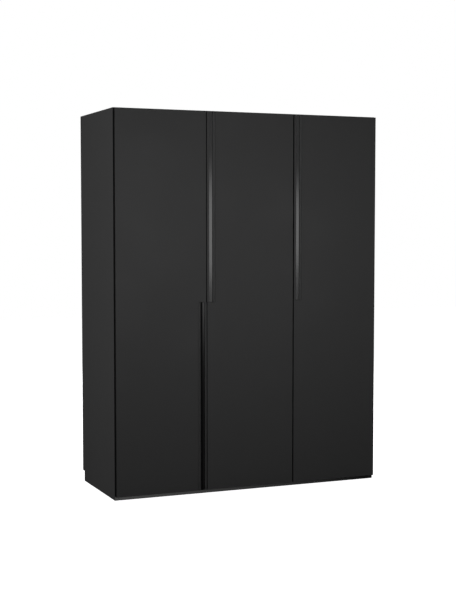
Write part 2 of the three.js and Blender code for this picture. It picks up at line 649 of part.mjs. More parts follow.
// One hinge arm on its mounting plate. overlay is how far the closed door covers the panel's front edge.
function hingeArm(name, faceX, inward, overlay, level) {
  const seat = PLATE_THICKNESS + PLATE_RIDGE_HEIGHT;
  const layer = (outline, from, to) => {
    return pushAlongX(outline, to - from).translate(inward > 0 ? from : -to, 0, 0);
  };
  const ridgeOutline = outlineThrough([
    [PLATE_FRONT, -PLATE_RIDGE_WIDTH / 2],
    [PLATE_FRONT + PLATE_LENGTH, -PLATE_RIDGE_WIDTH / 2],
    [PLATE_FRONT + PLATE_LENGTH, PLATE_RIDGE_WIDTH / 2],
    [PLATE_FRONT, PLATE_RIDGE_WIDTH / 2],
  ]);
  const wingOutline = uprightSlot(PLATE_SCREW_LINE, 0, PLATE_WING_RADIUS, PLATE_SCREW_SPREAD);
  const outline = armOutline(CUP_FROM_DOOR_EDGE - overlay, inward);
  const blank = raise(outline, ARM_WIDTH).translate(0, 0, -ARM_WIDTH / 2);
  const channel = raise(outline, ARM_WIDTH - 2 * ARM_WALL);
  channel.translate(-inward * ARM_WALL, ARM_WALL, ARM_WALL - ARM_WIDTH / 2);
  const pieces = [
    layer(ridgeOutline, 0, seat + ARM_HEIGHT / 2),
    layer(wingOutline, 0, PLATE_THICKNESS),
    cut(blank, [channel]),
  ];
  return named(name, join(pieces), steelFinish, faceX + inward * BOARD_JOINT, CARCASS_FRONT, level);
}

// ---------------------------------------------------------------- assembly

// The doors from left to right: which way each reaches from its hinges, where its grip is, and the panel
// face that carries its hinge arms, with how far the door covers that panel's front edge.
const LOWER_HALF = [0, DOOR_HEIGHT / 2];
const UPPER_HALF = [DOOR_HEIGHT / 2, DOOR_HEIGHT];
const SIDE_OVERLAY = CARCASS_BOARD - DOOR_SIDE_REVEAL;
const PARTITION_OVERLAY = (CARCASS_BOARD - DOOR_GAP) / 2;
const DOORS = [
  { name: 'left_door', toGrip: 1, grip: LOWER_HALF, face: INNER_LEFT, overlay: SIDE_OVERLAY },
  { name: 'middle_door', toGrip: -1, grip: UPPER_HALF, face: PARTITION_LEFT, overlay: PARTITION_OVERLAY },
  { name: 'right_door', toGrip: -1, grip: UPPER_HALF, face: INNER_RIGHT, overlay: SIDE_OVERLAY },
];

const carcass = new THREE.Group();
carcass.add(sidePanel('left_side_panel', LEFT, 1, []));
carcass.add(sidePanel('right_side_panel', RIGHT, -1, pinHoles(INNER_RIGHT, -1)));
carcass.add(partitionPanel());
carcass.add(topPanel());
carcass.add(bottomPanel());
carcass.add(plinth('front_plinth', CARCASS_FRONT));
carcass.add(plinth('rear_plinth', INNER_REAR - REAR_PLINTH_INSET - PLINTH_BOARD));
carcass.add(levellingFoot('front_levelling_foot', CARCASS_FRONT + FOOT_INSET));
carcass.add(levellingFoot('rear_levelling_foot', INNER_REAR - REAR_PLINTH_INSET - FOOT_INSET));

['left', 'middle', 'right'].forEach((place, index) => {
  carcass.add(backSheet(`${place}_back_sheet`, index));
});
carcass.add(backStrip('wide_bay_back_strip', STRIP_MIDDLES[0]));
carcass.add(backStrip('partition_back_strip', STRIP_MIDDLES[1]));

carcass.add(shelf('hat_shelf', INNER_LEFT, PARTITION_LEFT, HAT_SHELF_LEVEL));
carcass.add(shelf('upper_fixed_shelf', PARTITION_RIGHT, INNER_RIGHT, HAT_SHELF_LEVEL));
carcass.add(shelf('lower_fixed_shelf', PARTITION_RIGHT, INNER_RIGHT, FIXED_SHELF_LEVEL));
for (const [name, level] of [['lower', LOWER_SHELF_LEVEL], ['upper', UPPER_SHELF_LEVEL]]) {
  carcass.add(shelf(`${name}_adjustable_shelf`, PARTITION_RIGHT, INNER_RIGHT, level));
  PIN_ROWS.forEach((y, row) => {
    const place = `${name}_shelf_pin_${['front', 'rear'][row]}`;
    carcass.add(shelfPin(`${place}_left`, PARTITION_RIGHT, 1, y, level));
    carcass.add(shelfPin(`${place}_right`, INNER_RIGHT, -1, y, level));
  });
}
carcass.add(wardrobeRail());
carcass.add(railBracket('left_rail_bracket', INNER_LEFT, 1));
carcass.add(railBracket('right_rail_bracket', PARTITION_LEFT, -1));

for (const { name, toGrip, face, overlay } of DOORS) {
  for (let hinge = 0; hinge < HINGES_PER_DOOR; hinge += 1) {
    carcass.add(hingeArm(`${name}_hinge_arm_${hinge + 1}`, face, toGrip, overlay, hingeLevel(hinge)));
  }
}

const group = new THREE.Group();
group.add(carcass);
DOORS.forEach(({ name, toGrip, grip }, index) => {
  group.add(door(name, index, toGrip, ...grip));
});

export default group;
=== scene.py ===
# %% [markdown]
# # A black three-door wardrobe, finished in Blender
#
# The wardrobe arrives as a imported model: every board, hinge and rail at its real size, in metres, standing on
# z = 0 with its doors towards -Y. That model gives the places and sizes, and this file gives the looks. Each
# step first says what the thing is on the real wardrobe and why it is made this way, and then makes it.

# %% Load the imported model
import json
import math

import bmesh
import bpy
from mathutils import Matrix, Vector


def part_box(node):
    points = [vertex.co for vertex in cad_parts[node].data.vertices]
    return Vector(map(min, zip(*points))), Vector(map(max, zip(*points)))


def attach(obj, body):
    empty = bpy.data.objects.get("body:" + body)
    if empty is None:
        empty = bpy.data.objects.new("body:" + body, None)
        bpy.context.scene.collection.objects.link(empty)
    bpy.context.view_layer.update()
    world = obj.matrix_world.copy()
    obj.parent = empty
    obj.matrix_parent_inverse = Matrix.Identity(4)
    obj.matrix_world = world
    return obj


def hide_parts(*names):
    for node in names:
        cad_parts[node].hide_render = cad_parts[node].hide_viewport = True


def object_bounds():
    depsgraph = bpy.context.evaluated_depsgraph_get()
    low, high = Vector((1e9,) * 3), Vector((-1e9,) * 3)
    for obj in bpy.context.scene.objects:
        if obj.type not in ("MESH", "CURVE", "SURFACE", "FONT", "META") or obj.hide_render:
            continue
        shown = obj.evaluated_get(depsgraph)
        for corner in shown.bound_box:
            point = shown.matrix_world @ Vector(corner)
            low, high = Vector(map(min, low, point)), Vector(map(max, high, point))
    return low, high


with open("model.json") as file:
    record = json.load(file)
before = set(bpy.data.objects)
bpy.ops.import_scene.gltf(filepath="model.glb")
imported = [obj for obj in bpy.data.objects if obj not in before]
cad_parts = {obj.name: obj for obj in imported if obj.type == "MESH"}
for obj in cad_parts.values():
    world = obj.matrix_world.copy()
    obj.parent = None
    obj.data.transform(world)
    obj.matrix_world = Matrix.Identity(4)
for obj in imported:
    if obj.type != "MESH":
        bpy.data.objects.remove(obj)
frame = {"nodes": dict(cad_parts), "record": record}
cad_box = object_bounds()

scene = bpy.context.scene
nodes = frame["nodes"]
bodies = frame["record"]["behaviour"]["bodies"]
body_of_node = {node: body for body, members in bodies.items() for node in members}
MM = 0.001
wardrobe_low, wardrobe_high = cad_box
print("wardrobe", [round(v, 3) for v in wardrobe_high - wardrobe_low], "m,", len(nodes), "nodes")

# %% [markdown]
# ## Camera
#
# Tall furniture is shown from far away with a long lens, so that its uprights stay upright. The camera stands
# to the left of the wardrobe, a little above the middle of its height, and looks slightly down. A camera looks
# along its own -Z axis, so it is first tipped up by a right angle.

# %% Camera
CAMERA_PLACE = Vector((-2.6508, -6.2767, 1.4011))
CAMERA_TURN = math.radians(-22.867)
CAMERA_DIP = math.radians(3.573)
LENS_MM = 73.33

camera_data = bpy.data.cameras.new("catalogue_camera")
camera_data.lens = LENS_MM
camera = bpy.data.objects.new("catalogue_camera", camera_data)
camera.location = CAMERA_PLACE
camera.rotation_euler = (math.pi / 2 - CAMERA_DIP, 0, CAMERA_TURN)
scene.collection.objects.link(camera)
scene.camera = camera
print("camera with a", LENS_MM, "mm lens, dipped", round(math.degrees(CAMERA_DIP), 2), "degrees")

# %% [markdown]
# ## Soft boxes
#
# Matt black furniture shows its form by what it reflects, so the lights are placed like mirrors. A tall soft box
# on the left lights the wardrobe's side. A wide strip in front, above eye height, lights the doors and fades
# towards the floor. To the right of the camera stand the boxes that the grip grooves mirror: an oval one for the
# bright middle of their polished floors, whose curved outline makes the farther groove's light shorter, a weak one
# above and one below it that let the light fade out, and a tall one for the haze round it. The last three, on the
# far side, behind and overhead, keep those faces readable when the wardrobe is turned round.

# %% Soft boxes
def soft_box(name, place, aim, size, power, shape="RECTANGLE"):
    """A soft box at place, turned so that it faces aim."""
    light = bpy.data.lights.new(name, "AREA")
    light.shape = shape
    light.size, light.size_y = size
    light.energy = power
    lamp = bpy.data.objects.new(name, light)
    lamp.location = place
    lamp.rotation_euler = (Vector(aim) - Vector(place)).to_track_quat("-Z", "Y").to_euler()
    scene.collection.objects.link(lamp)
    return lamp


soft_box("side_soft_box", (-3.5, 0.9, 1.35), (-0.75, 0.1, 0.9), (1.2, 2.8), 36)
soft_box("front_strip", (-2.0, -3.4, 1.8), (-0.6, 0.0, 1.3), (3.2, 1.2), 34.3)
soft_box("grip_soft_box", (1.12, -3.4, 1.40), (0.1, -0.3, 1.4), (2.0, 0.78), 12.0, shape="ELLIPSE")
soft_box("grip_low_soft_box", (1.2, -3.5, 0.90), (0.0, -0.3, 1.2), (1.9, 0.60), 2.2)
soft_box("grip_high_soft_box", (1.2, -3.5, 2.30), (0.0, -0.3, 1.9), (1.9, 0.60), 1.2)
soft_box("grip_haze", (1.2, -3.7, 1.55), (0.2, -0.3, 1.4), (1.9, 2.30), 3.6)
soft_box("far_side_soft_box", (4.6, 1.2, 2.0), (0.75, 0.0, 1.0), (2.0, 2.5), 60)
rear_box = soft_box("rear_soft_box", (1.5, 5.0, 2.4), (0.2, 0.3, 1.0), (3.2, 1.6), 90)
soft_box("overhead_soft_box", (0.0, 0.05, 4.0), (0.0, 0.05, 2.0), (1.3, 0.4), 20)

# %% [markdown]
# ## Node helpers
#
# Shaders and the world are wired from small nodes. Some come back again and again: arithmetic, a noise, a change
# of range, a place, one axis of a vector. Each helper makes its node and gives back the socket to go on with.

# %% Node helpers
def feed(tree, value, socket):
    """Sets an input to a number, or links it to another node's output."""
    if isinstance(value, (int, float)):
        socket.default_value = value
    else:
        tree.links.new(value, socket)


def add_math(tree, operation, first, second, clamp=False):
    """A Math node: each of first and second is a socket or a number."""
    node = tree.nodes.new("ShaderNodeMath")
    node.operation = operation
    node.use_clamp = clamp
    feed(tree, first, node.inputs[0])
    feed(tree, second, node.inputs[1])
    return node.outputs["Value"]


def add_noise(tree, vector, scale, detail=2.0, roughness=0.5):
    """A Noise Texture on vector: scale is in cycles per metre, and is a socket or a number."""
    node = tree.nodes.new("ShaderNodeTexNoise")
    node.inputs["Detail"].default_value = detail
    node.inputs["Roughness"].default_value = roughness
    tree.links.new(vector, node.inputs["Vector"])
    feed(tree, scale, node.inputs["Scale"])
    return node.outputs["Fac"]


def add_range(tree, value, from_low, from_high, to_low=0.0, to_high=1.0):
    """A clamped Map Range with plain numbers as its bounds."""
    node = tree.nodes.new("ShaderNodeMapRange")
    tree.links.new(value, node.inputs["Value"])
    bounds = {"From Min": from_low, "From Max": from_high, "To Min": to_low, "To Max": to_high}
    for label, bound in bounds.items():
        node.inputs[label].default_value = bound
    return node.outputs["Result"]


def own_place(tree):
    """Each point's place in its own object's coordinates."""
    return tree.nodes.new("ShaderNodeTexCoord").outputs["Object"]


def add_axis(tree, vector, axis):
    """One axis, X, Y or Z, of a vector."""
    node = tree.nodes.new("ShaderNodeSeparateXYZ")
    tree.links.new(vector, node.inputs["Vector"])
    return node.outputs[axis]


print("node helpers are ready")

# %% [markdown]
# ## Studio air and paper
#
# The paper behind and below is pure white to the camera alone: white paper that also lit the boards would turn
# black into grey. So the world has two faces. A Light Path node gives the camera's own rays white, and all
# other rays a dim grey that gets darker below the horizon, which lets the doors fade towards the floor.

# %% World
AIR_ABOVE = 0.115
AIR_BELOW = 0.042
HORIZON_BLUR = 0.06


def studio_air():
    """White for the camera, dim grey for everything that the wardrobe reflects."""
    world = bpy.data.worlds.new("studio_air")
    world.use_nodes = True
    tree = world.node_tree
    tree.nodes.clear()
    output = tree.nodes.new("ShaderNodeOutputWorld")
    choose = tree.nodes.new("ShaderNodeMixShader")
    paths = tree.nodes.new("ShaderNodeLightPath")
    air = tree.nodes.new("ShaderNodeBackground")
    paper = tree.nodes.new("ShaderNodeBackground")
    upward = add_axis(tree, tree.nodes.new("ShaderNodeTexCoord").outputs["Generated"], "Z")
    grey = add_range(tree, upward, -HORIZON_BLUR, HORIZON_BLUR, AIR_BELOW, AIR_ABOVE)
    air.inputs["Color"].default_value = (1, 1, 1, 1)
    paper.inputs["Color"].default_value = (1, 1, 1, 1)
    link = tree.links.new
    link(grey, air.inputs["Strength"])
    link(paths.outputs["Is Camera Ray"], choose.inputs["Fac"])
    link(air.outputs["Background"], choose.inputs[1])
    link(paper.outputs["Background"], choose.inputs[2])
    link(choose.outputs["Shader"], output.inputs["Surface"])
    return world


scene.world = studio_air()
scene.view_settings.view_transform = "Standard"
print("air", AIR_ABOVE, "above the horizon and", AIR_BELOW, "below it")

# %% [markdown]
# ## Floor
#
# The floor is one flat sheet of glowing white paper that no board mirrors, so that the wardrobe leaves no grey
# pool under it. A narrow card lies in front of the plinth, hidden from the camera: the set-back plinth mirrors
# it, which gives the light strip under the doors. The card is bright at its left end and fades to the right.

# %% Floor and plinth card
FLOOR_SIZE = 24.0
CARD_REACH = 0.14
CARD_LIFT = 0.6 * MM
CARD_BRIGHT, CARD_DIM = 1.3, 0.05
PAPER_WHITE, PAPER_GLOW = 0.9, 0.95


def flat_sheet(name, low, high, height):
    """A level rectangle between two (x, y) corners, facing up."""
    bm = bmesh.new()
    bmesh.ops.create_grid(bm, x_segments=1, y_segments=1, size=0.5)
    middle = Vector(((low[0] + high[0]) / 2, (low[1] + high[1]) / 2, height))
    bmesh.ops.scale(bm, vec=(high[0] - low[0], high[1] - low[1], 1), verts=bm.verts)
    bmesh.ops.translate(bm, vec=middle, verts=bm.verts)
    mesh = bpy.data.meshes.new(name)
    bm.to_mesh(mesh)
    bm.free()
    sheet = bpy.data.objects.new(name, mesh)
    scene.collection.objects.link(sheet)
    return sheet


def white_paper():
    material = bpy.data.materials.new("white_paper")
    material.use_nodes = True
    shader = material.node_tree.nodes["Principled BSDF"]
    shader.inputs["Base Color"].default_value = (PAPER_WHITE, PAPER_WHITE, PAPER_WHITE, 1)
    shader.inputs["Roughness"].default_value = 0.9
    shader.inputs["Emission Color"].default_value = (1, 1, 1, 1)
    shader.inputs["Emission Strength"].default_value = PAPER_GLOW
    return material


def fading_card():
    """Bright at the left end of the plinth, dark at the right end."""
    material = bpy.data.materials.new("fading_card")
    material.use_nodes = True
    tree = material.node_tree
    tree.nodes.clear()
    output = tree.nodes.new("ShaderNodeOutputMaterial")
    glow = tree.nodes.new("ShaderNodeEmission")
    rightward = add_axis(tree, own_place(tree), "X")
    fade = add_range(tree, rightward, wardrobe_low.x, wardrobe_high.x, CARD_BRIGHT, CARD_DIM)
    tree.links.new(fade, glow.inputs["Strength"])
    tree.links.new(glow.outputs["Emission"], output.inputs["Surface"])
    return material


floor = flat_sheet("paper_floor", (-FLOOR_SIZE / 2, -FLOOR_SIZE / 2), (FLOOR_SIZE / 2, FLOOR_SIZE / 2), 0)
floor.data.materials.append(white_paper())
floor.visible_diffuse = False
floor.visible_glossy = False

plinth_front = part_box("front_plinth")[0].y
door_front = wardrobe_low.y
card_corner_low = (wardrobe_low.x, door_front - CARD_REACH)
card_corner_high = (wardrobe_high.x, plinth_front)
card = flat_sheet("plinth_card", card_corner_low, card_corner_high, CARD_LIFT)
card.data.materials.append(fading_card())
card.visible_camera = False
card.visible_diffuse = False
card.visible_shadow = False
print("floor and card, plinth set back", round((plinth_front - door_front) / MM), "mm")

# %% [markdown]
# ## Shared effects
#
# The finishes share a few effects: the fine pearl of a pressed board facing, the rub along an edge, the lines
# that drawing or brushing leaves, and the dust that settles on what faces up. Each is a node group with named
# inputs and outputs, built once and placed in every material with that material's own numbers. A group here
# gives out only colours, masks and heights. The shader itself stays in the material.

# %% Group helpers
def new_group(name, inputs, outputs):
    """A shader node group. inputs are (name, default) pairs and outputs are names, all plain numbers."""
    group = bpy.data.node_groups.new(name, "ShaderNodeTree")
    for label, value in inputs:
        socket = group.interface.new_socket(label, in_out="INPUT", socket_type="NodeSocketFloat")
        socket.default_value = value
    for label in outputs:
        group.interface.new_socket(label, in_out="OUTPUT", socket_type="NodeSocketFloat")
    entry = group.nodes.new("NodeGroupInput")
    leave = group.nodes.new("NodeGroupOutput")
    return group, entry, leave


print("group helper is ready")

# %% [markdown]
# ### Pearl of a board facing
#
# Melamine paper is pressed against an etched steel plate, which leaves a pearl of about a millimetre, much finer
# than the eye counts. What the eye does see is a slow clouding of tone over a hand's breadth, and a slightly
# smoother patch here and there where hands and cloths have gone. Two noises of very different scale give both.

# %% Pearl group
CLOUDS_PER_METRE = 7.0
HANDS_PER_METRE = 2.3


def pearl_group():
    group, entry, leave = new_group(
        "facing_pearl",
        [("Grain per metre", 900.0), ("Clouding", 0.06), ("Smoothing", 0.05)],
        ["Tone", "Height", "Roughness"],
    )
    place = own_place(group)
    pearl = add_noise(group, place, entry.outputs["Grain per metre"], detail=1.0)
    cloud = add_noise(group, place, CLOUDS_PER_METRE, detail=4.0, roughness=0.6)
    hands = add_range(group, add_noise(group, place, HANDS_PER_METRE, detail=3.0), 0.5, 0.72)
    swing = add_math(group, "SUBTRACT", cloud, 0.5)
    fine = add_math(group, "MULTIPLY", add_math(group, "SUBTRACT", pearl, 0.5), 0.5)
    both = add_math(group, "ADD", swing, fine)
    tone = add_math(group, "ADD", add_math(group, "MULTIPLY", both, entry.outputs["Clouding"]), 1.0)
    smoother = add_math(group, "MULTIPLY", hands, entry.outputs["Smoothing"])
    group.links.new(tone, leave.inputs["Tone"])
    group.links.new(pearl, leave.inputs["Height"])
    group.links.new(smoother, leave.inputs["Roughness"])
    return group


PEARL = pearl_group()
print("group", PEARL.name)

# %% [markdown]
# ### Rub along an edge
#
# Years of hands, keys and mops polish the rounded edges of boards and pressings first. The pieces carry a face
# attribute named rim, which is 1 on each rounded edge and 0 elsewhere, and a broken noise decides where along
# the edge the rub has come through. An attribute is exact on a big flat board, where the usual trick of reading
# the curvature finds too few points.

# %% Rub group
def rub_group():
    group, entry, leave = new_group(
        "edge_rub",
        [("Patches per metre", 18.0), ("Amount", 0.5)],
        ["Mask"],
    )
    place = own_place(group)
    rim = group.nodes.new("ShaderNodeAttribute")
    rim.attribute_name = "rim"
    patches = add_noise(group, place, entry.outputs["Patches per metre"], detail=5.0, roughness=0.65)
    broken = add_range(group, patches, 0.46, 0.66)
    rubbed = add_math(group, "MULTIPLY", rim.outputs["Fac"], broken)
    mask = add_math(group, "MULTIPLY", rubbed, entry.outputs["Amount"])
    group.links.new(mask, leave.inputs["Mask"])
    return group


RUB = rub_group()
print("group", RUB.name)

# %% [markdown]
# ### Lines of drawing and brushing
#
# A profile that is drawn through a die, and a pressing that is brushed, keep faint parallel lines. A noise that
# is squeezed across the lines and stretched along them gives such lines at any scale. The stretch is set with
# three numbers, one for each axis, so that one group serves profiles that stand and tubes that lie.

# %% Drawn lines group
def drawn_group():
    group, entry, leave = new_group(
        "drawn_lines",
        [("Across X", 2500.0), ("Across Y", 2500.0), ("Along Z", 6.0), ("Amount", 0.1)],
        ["Height", "Roughness"],
    )
    place = own_place(group)
    stretch = group.nodes.new("ShaderNodeCombineXYZ")
    for label, axis in (("Across X", "X"), ("Across Y", "Y"), ("Along Z", "Z")):
        group.links.new(entry.outputs[label], stretch.inputs[axis])
    squeezed = group.nodes.new("ShaderNodeVectorMath")
    squeezed.operation = "MULTIPLY"
    group.links.new(place, squeezed.inputs[0])
    group.links.new(stretch.outputs["Vector"], squeezed.inputs[1])
    lines = add_noise(group, squeezed.outputs["Vector"], 1.0, detail=3.0, roughness=0.6)
    swing = add_math(group, "SUBTRACT", lines, 0.5)
    group.links.new(lines, leave.inputs["Height"])
    group.links.new(add_math(group, "MULTIPLY", swing, entry.outputs["Amount"]), leave.inputs["Roughness"])
    return group


DRAWN = drawn_group()
print("group", DRAWN.name)

# %% [markdown]
# ### Dust
#
# Dust settles on what faces up: the top, the shelves, the upper edge of a plinth. The mask follows the world's
# upward direction through the surface normal, broken up by two noises, one for drifts and one for specks.

# %% Dust group
DRIFTS_PER_METRE = 4.0
SPECKS_PER_METRE = 350.0


def dust_group():
    group, entry, leave = new_group("settled_dust", [("Amount", 0.2)], ["Mask"])
    place = own_place(group)
    normal = group.nodes.new("ShaderNodeNewGeometry").outputs["Normal"]
    facing_up = add_range(group, add_axis(group, normal, "Z"), 0.75, 0.98)
    drifts = add_range(group, add_noise(group, place, DRIFTS_PER_METRE, detail=4.0), 0.35, 0.75)
    specks = add_range(group, add_noise(group, place, SPECKS_PER_METRE, detail=2.0), 0.55, 0.75)
    lying = add_math(group, "ADD", drifts, add_math(group, "MULTIPLY", specks, 0.6), clamp=True)
    dusty = add_math(group, "MULTIPLY", facing_up, lying)
    group.links.new(add_math(group, "MULTIPLY", dusty, entry.outputs["Amount"]), leave.inputs["Mask"])
    return group


DUST = dust_group()
print("group", DUST.name)

# %% [markdown]
# ## Materials
#
# The finishes share their steps: a base colour with its clouding, on most a rub along the rims, on some dust on
# what faces up, a roughness that changes a little, and a bump. Small helpers start the material and place groups
# in it, and each finish then states its own numbers. Black boards reflect about three parts in a hundred, which
# is much lighter than it sounds: a true zero would look like a hole.

# %% Material helpers
def start_material(name, roughness, metallic=0.0):
    """A material with its Principled shader, and the tree that feeds it."""
    material = bpy.data.materials.new(name)
    material.use_nodes = True
    tree = material.node_tree
    shader = tree.nodes["Principled BSDF"]
    shader.inputs["Roughness"].default_value = roughness
    shader.inputs["Metallic"].default_value = metallic
    return material, tree, shader


def place_group(tree, group, **values):
    """Places a node group with this material's own numbers. An underscore stands for a blank in a name."""
    node = tree.nodes.new("ShaderNodeGroup")
    node.node_tree = group
    for label, value in values.items():
        node.inputs[label.replace("_", " ")].default_value = value
    return node.outputs


def tinted(tree, color, tone):
    """A colour made lighter or darker by tone."""
    node = tree.nodes.new("ShaderNodeMix")
    node.data_type = "RGBA"
    node.blend_type = "MULTIPLY"
    node.inputs["Factor"].default_value = 1.0
    node.inputs["A"].default_value = (*color, 1)
    tree.links.new(tone, node.inputs["B"])
    return node.outputs["Result"]


def mixed(tree, mask, first, color):
    """first where mask is 0, color where it is 1."""
    node = tree.nodes.new("ShaderNodeMix")
    node.data_type = "RGBA"
    tree.links.new(mask, node.inputs["Factor"])
    tree.links.new(first, node.inputs["A"])
    node.inputs["B"].default_value = (*color, 1)
    return node.outputs["Result"]


def bumped(tree, shader, height, distance):
    """A Bump node whose height is in units of distance, in metres."""
    bump = tree.nodes.new("ShaderNodeBump")
    bump.inputs["Distance"].default_value = distance
    tree.links.new(height, bump.inputs["Height"])
    tree.links.new(bump.outputs["Normal"], shader.inputs["Normal"])


print("material helpers are ready")

# %% [markdown]
# ### Board facing, edge band and plinth
#
# One recipe serves the three board finishes. The broad faces are matt. The edges are closed with a thin plastic
# band, which is a little smoother. Its colour is black, and much deeper than a real band: the extra depth is
# painted shade, so that the gaps between the doors and each door's edge read as a thin dark line. The plinth has
# a smoother facing that can be wiped, and it mirrors the card on the floor.

# %% Board finishes
DUST_GREY = (0.22, 0.21, 0.2)
RUBBED_BLACK = (0.075, 0.075, 0.077)
RUB_SMOOTHING, DUST_ROUGHENING = 0.15, 0.4


def board_finish(name, color, roughness, gloss, clouding, pearl_depth, rub, dust):
    material, tree, shader = start_material(name, roughness)
    shader.inputs["Specular IOR Level"].default_value = gloss
    pearl = place_group(tree, PEARL, Clouding=clouding)
    worn = place_group(tree, RUB, Amount=rub)["Mask"]
    dusty = place_group(tree, DUST, Amount=dust)["Mask"]
    facing = tinted(tree, color, pearl["Tone"])
    rubbed = mixed(tree, worn, facing, RUBBED_BLACK)
    tree.links.new(mixed(tree, dusty, rubbed, DUST_GREY), shader.inputs["Base Color"])
    smoother = add_math(tree, "ADD", pearl["Roughness"], add_math(tree, "MULTIPLY", worn, RUB_SMOOTHING))
    rough = add_math(tree, "SUBTRACT", roughness, smoother)
    roughening = add_math(tree, "MULTIPLY", dusty, DUST_ROUGHENING)
    rough = add_math(tree, "ADD", rough, roughening, clamp=True)
    tree.links.new(rough, shader.inputs["Roughness"])
    bumped(tree, shader, pearl["Height"], pearl_depth)
    return material


matt_facing = board_finish(
    "matt_black_facing", (0.03, 0.03, 0.0302), roughness=0.57, gloss=0.5,
    clouding=0.10, pearl_depth=0.00002, rub=0.3, dust=0.05,
)
# Painted shade: the band's near-zero colour stands in for the shade in the gaps and on the door edges.
edge_band_and_gap_shade = board_finish(
    "black_edge_band", (0.002, 0.002, 0.0021), roughness=0.5, gloss=0.05,
    clouding=0.10, pearl_depth=0.00001, rub=0.03, dust=0.03,
)
plinth_facing = board_finish(
    "wiped_plinth_facing", (0.012, 0.012, 0.0122), roughness=0.16, gloss=0.5,
    clouding=0.10, pearl_depth=0.000002, rub=0.2, dust=0.12,
)
print("board finishes:", matt_facing.name, edge_band_and_gap_shade.name, plinth_facing.name)

# %% [markdown]
# ### Fibreboard back
#
# The back sheets are thin fibreboard under a coat of black. The coat sinks in between the fibres, so the sheet
# is greyer and rougher than the boards, with short flecks that lie every way.

# %% Back finish
def fibreboard_finish():
    material, tree, shader = start_material("black_fibreboard", 0.75)
    place = own_place(tree)
    pearl = place_group(tree, PEARL, Grain_per_metre=420.0, Clouding=0.3)
    flecks = tree.nodes.new("ShaderNodeTexVoronoi")
    flecks.inputs["Scale"].default_value = 260.0
    tree.links.new(place, flecks.inputs["Vector"])
    fleck = add_range(tree, flecks.outputs["Distance"], 0.05, 0.35, 0.5, 0.0)
    coat = tinted(tree, (0.04, 0.04, 0.041), pearl["Tone"])
    tree.links.new(mixed(tree, fleck, coat, (0.055, 0.052, 0.05)), shader.inputs["Base Color"])
    rough = add_math(tree, "SUBTRACT", 0.78, pearl["Roughness"])
    tree.links.new(rough, shader.inputs["Roughness"])
    bumped(tree, shader, pearl["Height"], 0.00004)
    return material


fibreboard = fibreboard_finish()
print("back finish:", fibreboard.name)

# %% [markdown]
# ### Black anodised grip profile
#
# The grip is a drawn aluminium profile, anodised black. Its lip and its shoulder are matt like the doors, and the
# floor of the channel between them, which the fingers touch, is polished by the die and by use, so it mirrors
# the studio. Its colour is darker than the lip's, partly for the polished finish and partly as painted shade of
# the channel's walls. One attribute on the points, named polish, says how polished each place is, and the shader
# reads both its colour and its roughness from it.

# %% Grip finish
def grip_finish():
    material, tree, shader = start_material("black_anodised_profile", 0.5)
    polish = tree.nodes.new("ShaderNodeAttribute")
    polish.attribute_name = "polish"
    shine = polish.outputs["Fac"]
    lines = place_group(tree, DRAWN, Amount=0.06)
    pearl = place_group(tree, PEARL, Clouding=0.1)
    worn = place_group(tree, RUB, Amount=0.2)["Mask"]
    matt = tinted(tree, (0.028, 0.028, 0.0282), pearl["Tone"])
    # Painted shade: the floor's near-black colour also holds the shade of the channel walls.
    polished = mixed(tree, shine, matt, (0.006, 0.006, 0.0062))
    tree.links.new(mixed(tree, worn, polished, RUBBED_BLACK), shader.inputs["Base Color"])
    rough = add_range(tree, shine, 0.0, 1.0, 0.54, 0.17)
    rough = add_math(tree, "ADD", rough, lines["Roughness"], clamp=True)
    tree.links.new(rough, shader.inputs["Roughness"])
    bumped(tree, shader, lines["Height"], 0.000004)
    return material


anodised = grip_finish()
print("grip finish:", anodised.name)

# %% [markdown]
# ### Metals
#
# The hinges and shelf pins are nickel plated pressings, a warm and slightly milky metal with brushed lines. The
# wardrobe rail is chromed, which is colder and much smoother, and where hangers slide it carries fine scuffs
# across its length. Both are the same recipe with other numbers.

# %% Metal finishes
RUB_BRIGHTENING = 1.2


def metal_finish(name, color, roughness, across, brushing, scuffs):
    material, tree, shader = start_material(name, roughness, metallic=1.0)
    lines = place_group(tree, DRAWN, **across, Amount=brushing)
    cloud = place_group(tree, PEARL, Grain_per_metre=260.0, Clouding=0.16)
    worn = place_group(tree, RUB, Patches_per_metre=90.0, Amount=0.5)["Mask"]
    plating = tinted(tree, color, cloud["Tone"])
    brighter = tuple(min(1.0, channel * RUB_BRIGHTENING) for channel in color)
    tree.links.new(mixed(tree, worn, plating, brighter), shader.inputs["Base Color"])
    rough = add_math(tree, "ADD", roughness, lines["Roughness"])
    rough = add_math(tree, "ADD", rough, add_math(tree, "MULTIPLY", cloud["Roughness"], scuffs), clamp=True)
    tree.links.new(rough, shader.inputs["Roughness"])
    bumped(tree, shader, lines["Height"], 0.000003)
    return material


UPRIGHT_LINES = {"Across_X": 2600.0, "Across_Y": 2600.0, "Along_Z": 60.0}
HANGER_LINES = {"Across_X": 900.0, "Across_Y": 40.0, "Along_Z": 40.0}
nickel = metal_finish("nickel_plated_pressing", (0.60, 0.585, 0.56), 0.27, UPRIGHT_LINES, 0.16, 1.0)
chrome = metal_finish("chromed_rail", (0.72, 0.73, 0.74), 0.09, HANGER_LINES, 0.10, 1.5)
print("metal finishes:", nickel.name, chrome.name)

# %% [markdown]
# ### Black plastic
#
# The levelling feet, the joining strips of the back, the buffers and the covers of the fittings are moulded
# plastic with a sparked texture: small pits of even size, which a Voronoi pattern gives.

